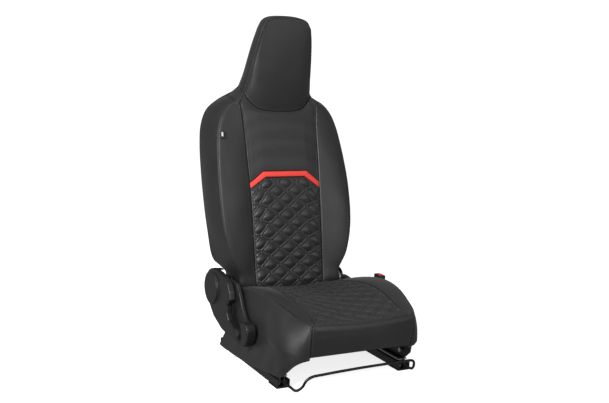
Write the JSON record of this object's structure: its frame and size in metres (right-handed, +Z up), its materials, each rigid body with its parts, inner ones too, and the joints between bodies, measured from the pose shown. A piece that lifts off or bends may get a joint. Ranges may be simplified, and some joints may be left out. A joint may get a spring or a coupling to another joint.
{
  "type": "front car seat",
  "caption": "Bolstered bucket-style front seat with fixed head restraint, quilted centre, side recliner lever, slide rails, front release bar and seat-belt buckle.",
  "frame": {"origin": "centre of the seat's bounding box on the floor plane, under the rails' foot plates", "axes": "+Z up; -Y is the way the sitter faces; +X is the side the belt buckle is on, -X the side with the recline lever"},
  "size_m": [0.532, 0.7124, 1.0652],
  "materials": {
    "cover": "fine-grained leatherette with a soft sheen",
    "ribbed_cover": "leatherette with a fine rib",
    "red_trim": "smooth red leatherette",
    "foam": "open-cell polyurethane foam",
    "trim_plastic": "fine-textured polypropylene",
    "red_plastic": "moulded, slightly shiny",
    "label": "woven label with a plain pale mark",
    "black_steel": "satin black electrocoat",
    "zinc_steel": "zinc plated"
  },
  "bodies": {
    "floor_rails": {"lower_rail_left": "black_steel", "lower_rail_right": "black_steel", "foot_front_left": "black_steel", "foot_front_right": "black_steel", "foot_rear_left": "black_steel", "foot_rear_right": "black_steel"},
    "seat_base": {"upper_rail_left": "zinc_steel", "upper_rail_right": "zinc_steel", "side_frame_left": "black_steel", "side_frame_right": "black_steel", "recliner_left": "zinc_steel", "recliner_right": "zinc_steel", "frame_bolt_left": "zinc_steel", "frame_bolt_right": "zinc_steel", "front_cross_tube": "black_steel", "rear_cross_tube": "black_steel", "cushion_pan": "black_steel", "cushion_spring_1": "zinc_steel", "cushion_spring_2": "zinc_steel", "cushion_spring_3": "zinc_steel", "cushion_foam": "foam", "cushion_insert": "cover", "cushion_bolster_left": "cover", "cushion_bolster_right": "cover", "cushion_front": "cover", "cushion_side_left": "cover", "cushion_side_right": "cover", "shield_left": "trim_plastic", "shield_right": "trim_plastic", "buckle_bolt": "zinc_steel"},
    "backrest": {"back_foam": "foam", "back_quilt": "cover", "back_mesh": "ribbed_cover", "headrest_pad": "cover", "headrest_gusset": "cover", "neck_left": "ribbed_cover", "neck_right": "ribbed_cover", "back_bolster_left": "cover", "back_bolster_right": "cover", "back_side_left": "cover", "back_side_right": "cover", "back_panel": "cover", "red_strip": "red_trim", "back_plate_left": "black_steel", "back_plate_right": "black_steel", "back_tube": "black_steel", "back_cross_tube": "black_steel", "back_spring_1": "zinc_steel", "back_spring_2": "zinc_steel", "label_tag": "label"},
    "recline_lever": {"recline_lever": "trim_plastic", "recliner_rod": "zinc_steel"},
    "slide_bar": {"slide_release_bar": "black_steel", "slide_latch_left": "zinc_steel", "slide_latch_right": "zinc_steel"},
    "buckle": {"buckle_stalk": "black_steel", "buckle_housing": "trim_plastic"},
    "buckle_button": {"buckle_button": "red_plastic"}
  },
  "joints": [
    {"name": "seat_slide", "type": "slide", "parent": "floor_rails", "child": "seat_base", "axis": [0, -1, 0], "range_m": [-0.04, 0.18]},
    {"name": "backrest_recline", "type": "hinge", "parent": "seat_base", "child": "backrest", "pos_m": [0, 0.161, 0.194], "axis": [1, 0, 0], "range_deg": [-50, 40]},
    {"name": "lever_pull", "type": "hinge", "parent": "seat_base", "child": "recline_lever", "pos_m": [0, 0.161, 0.194], "axis": [-1, 0, 0], "range_deg": [0, 20], "stiffness_Nm_per_rad": 6, "springref_deg": -17.19},
    {"name": "release_bar_lift", "type": "hinge", "parent": "seat_base", "child": "slide_bar", "pos_m": [0, -0.151, 0.017], "axis": [-1, 0, 0], "range_deg": [0, 5], "stiffness_Nm_per_rad": 20, "springref_deg": -5.73},
    {"name": "buckle_swing", "type": "hinge", "parent": "seat_base", "child": "buckle", "pos_m": [0.2515, 0.095, 0.079], "axis": [1, 0, 0], "range_deg": [-8, 8]},
    {"name": "buckle_press", "type": "slide", "parent": "buckle", "child": "buckle_button", "axis": [0, 0, -1], "range_m": [0, 0.005], "stiffness_N_per_m": 1500, "springref_m": -0.002}
  ]
}
